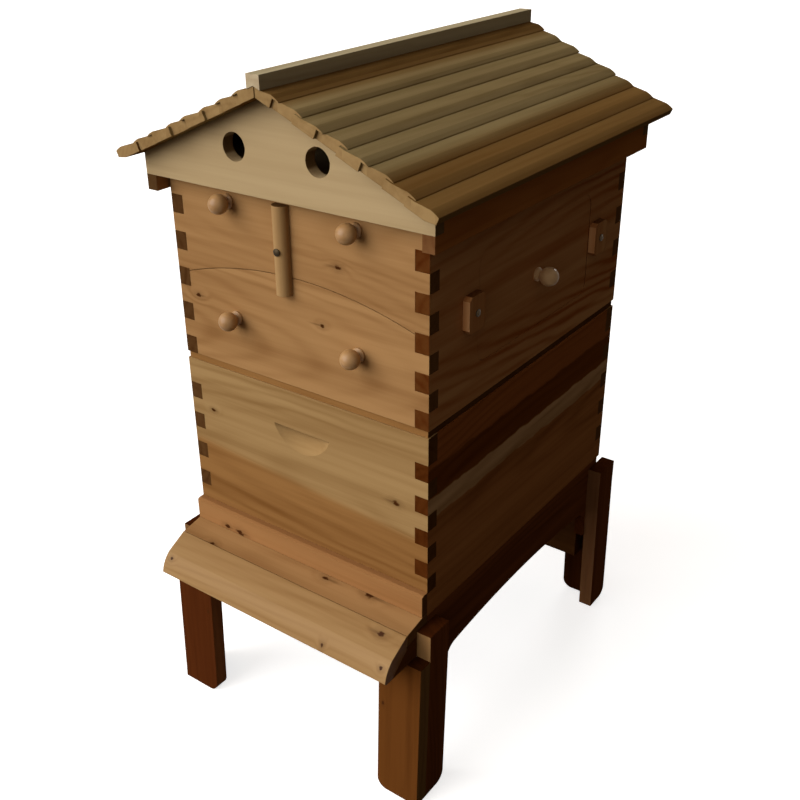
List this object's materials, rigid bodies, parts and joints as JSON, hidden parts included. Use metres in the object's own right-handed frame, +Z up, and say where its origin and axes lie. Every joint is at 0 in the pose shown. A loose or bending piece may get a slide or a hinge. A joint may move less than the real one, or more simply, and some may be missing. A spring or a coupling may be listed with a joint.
{
  "type": "beehive",
  "caption": "Wooden beehive with a gabled strip roof, honey super with pull-off front doors and side windows, brood box, sloped landing board and an arched stand.",
  "frame": {"origin": "on the ground under the middle of the overall box", "axes": "+Z up, -Y towards the entrance and landing board, +X to the right seen from the front"},
  "size_m": [0.4976, 0.657, 0.982],
  "materials": {
    "box_wood": "oiled fir boards with end-grain fingers",
    "stand_wood": "oiled fir, darker",
    "roof_wood": "weathered strips",
    "zinc_steel": "zinc plated",
    "clear_acrylic": "clear",
    "comb_plastic": "translucent comb plastic",
    "beeswax": "wax foundation",
    "tray_plastic": "white sheet"
  },
  "bodies": {
    "stand": {"floor_mesh": "zinc_steel", "floor_rim": "box_wood", "landing_board_lower": "box_wood", "landing_board_upper": "box_wood", "landing_cheeks": "box_wood", "leg_board_front_left": "stand_wood", "leg_board_front_right": "stand_wood", "leg_board_rear_left": "stand_wood", "leg_board_rear_right": "stand_wood", "leg_post_front_left": "stand_wood", "leg_post_front_right": "stand_wood", "leg_post_rear_left": "stand_wood", "leg_post_rear_right": "stand_wood", "stand_back_board": "stand_wood", "stand_rail_front": "stand_wood", "stand_side_left": "stand_wood", "stand_side_right": "stand_wood", "tray_runners": "stand_wood"},
    "entrance_strip": {"entrance_strip": "box_wood"},
    "inspection_tray": {"inspection_tray": "tray_plastic"},
    "brood_box": {"brood_wall_front": "box_wood", "brood_wall_rear": "box_wood", "brood_wall_left": "box_wood", "brood_wall_right": "box_wood"},
    "brood_frames": {"brood_frame_bars": "box_wood", "brood_foundations": "beeswax"},
    "excluder": {"excluder_rim": "box_wood", "excluder_grid": "zinc_steel"},
    "super": {"super_wall_left": "box_wood", "super_wall_right": "box_wood", "super_wall_rear": "box_wood", "super_head_rail": "box_wood", "window_panes": "clear_acrylic", "button_screws": "zinc_steel"},
    "honey_frames": {"honey_top_bars": "comb_plastic", "honey_end_plates": "clear_acrylic", "honey_combs": "comb_plastic"},
    "lower_door": {"lower_door": "box_wood", "lower_door_knobs": "box_wood"},
    "upper_door": {"upper_door": "box_wood", "upper_door_knobs": "box_wood", "turn_bar_screw": "zinc_steel"},
    "turn_bar": {"turn_bar": "box_wood"},
    "side_cover_left": {"side_cover_left": "box_wood", "side_cover_knob_left": "box_wood"},
    "side_cover_right": {"side_cover_right": "box_wood", "side_cover_knob_right": "box_wood"},
    "inner_cover": {"inner_cover": "box_wood"},
    "roof": {"gable_front": "box_wood", "gable_rear": "box_wood", "roof_skirt_left": "box_wood", "roof_skirt_right": "box_wood", "roof_strips_left": "roof_wood", "roof_strips_right": "roof_wood", "ridge_cap": "roof_wood"},
    "turn_button_front_left": {"turn_button_front_left": "box_wood"},
    "turn_button_front_right": {"turn_button_front_right": "box_wood"},
    "turn_button_rear_left": {"turn_button_rear_left": "box_wood"},
    "turn_button_rear_right": {"turn_button_rear_right": "box_wood"}
  },
  "joints": [
    {"name": "brood_lift", "type": "slide", "parent": "stand", "child": "brood_box", "axis": [0, 0, 1], "range_m": [0, 0.15]},
    {"name": "excluder_lift", "type": "slide", "parent": "brood_box", "child": "excluder", "axis": [0, 0, 1], "range_m": [0, 0.3]},
    {"name": "super_lift", "type": "slide", "parent": "excluder", "child": "super", "axis": [0, 0, 1], "range_m": [0, 0.15]},
    {"name": "inner_cover_lift", "type": "slide", "parent": "super", "child": "inner_cover", "axis": [0, 0, 1], "range_m": [0, 0.35]},
    {"name": "roof_lift", "type": "slide", "parent": "inner_cover", "child": "roof", "axis": [0, 0, 1], "range_m": [0, 0.2]},
    {"name": "brood_frames_lift", "type": "slide", "parent": "brood_box", "child": "brood_frames", "axis": [0, 0, 1], "range_m": [0, 0.24]},
    {"name": "honey_frames_lift", "type": "slide", "parent": "super", "child": "honey_frames", "axis": [0, 0, 1], "range_m": [0, 0.28]},
    {"name": "lower_door_pull", "type": "slide", "parent": "super", "child": "lower_door", "axis": [0, -1, 0], "range_m": [0, 0.1]},
    {"name": "upper_door_pull", "type": "slide", "parent": "lower_door", "child": "upper_door", "axis": [0, -1, 0], "range_m": [0, 0.1]},
    {"name": "turn_bar_turn", "type": "hinge", "parent": "upper_door", "child": "turn_bar", "pos_m": [-0.011, -0.2395, 0.76175], "axis": [0, -1, 0], "range_deg": [-90, 90]},
    {"name": "side_cover_left_pull", "type": "slide", "parent": "super", "child": "side_cover_left", "axis": [-1, 0, 0], "range_m": [0, 0.08]},
    {"name": "turn_button_front_left_turn", "type": "hinge", "parent": "super", "child": "turn_button_front_left", "pos_m": [-0.2113, -0.1435, 0.7], "axis": [-1, 0, 0], "range_deg": [-90, 90]},
    {"name": "turn_button_rear_left_turn", "type": "hinge", "parent": "super", "child": "turn_button_rear_left", "pos_m": [-0.2113, 0.1905, 0.7], "axis": [-1, 0, 0], "range_deg": [-90, 90]},
    {"name": "side_cover_right_pull", "type": "slide", "parent": "super", "child": "side_cover_right", "axis": [1, 0, 0], "range_m": [0, 0.08]},
    {"name": "turn_button_front_right_turn", "type": "hinge", "parent": "super", "child": "turn_button_front_right", "pos_m": [0.2113, -0.1435, 0.7], "axis": [1, 0, 0], "range_deg": [-90, 90]},
    {"name": "turn_button_rear_right_turn", "type": "hinge", "parent": "super", "child": "turn_button_rear_right", "pos_m": [0.2113, 0.1905, 0.7], "axis": [1, 0, 0], "range_deg": [-90, 90]},
    {"name": "entrance_strip_pull", "type": "slide", "parent": "stand", "child": "entrance_strip", "axis": [0, -1, 0], "range_m": [0, 0.06]},
    {"name": "tray_pull", "type": "slide", "parent": "stand", "child": "inspection_tray", "axis": [0, 1, 0], "range_m": [0, 0.45]}
  ],
  "couplings": [
    {"joint": "brood_frames_lift", "follows": "excluder_lift", "ratio": 0.8},
    {"joint": "honey_frames_lift", "follows": "inner_cover_lift", "ratio": 0.8}
  ]
}
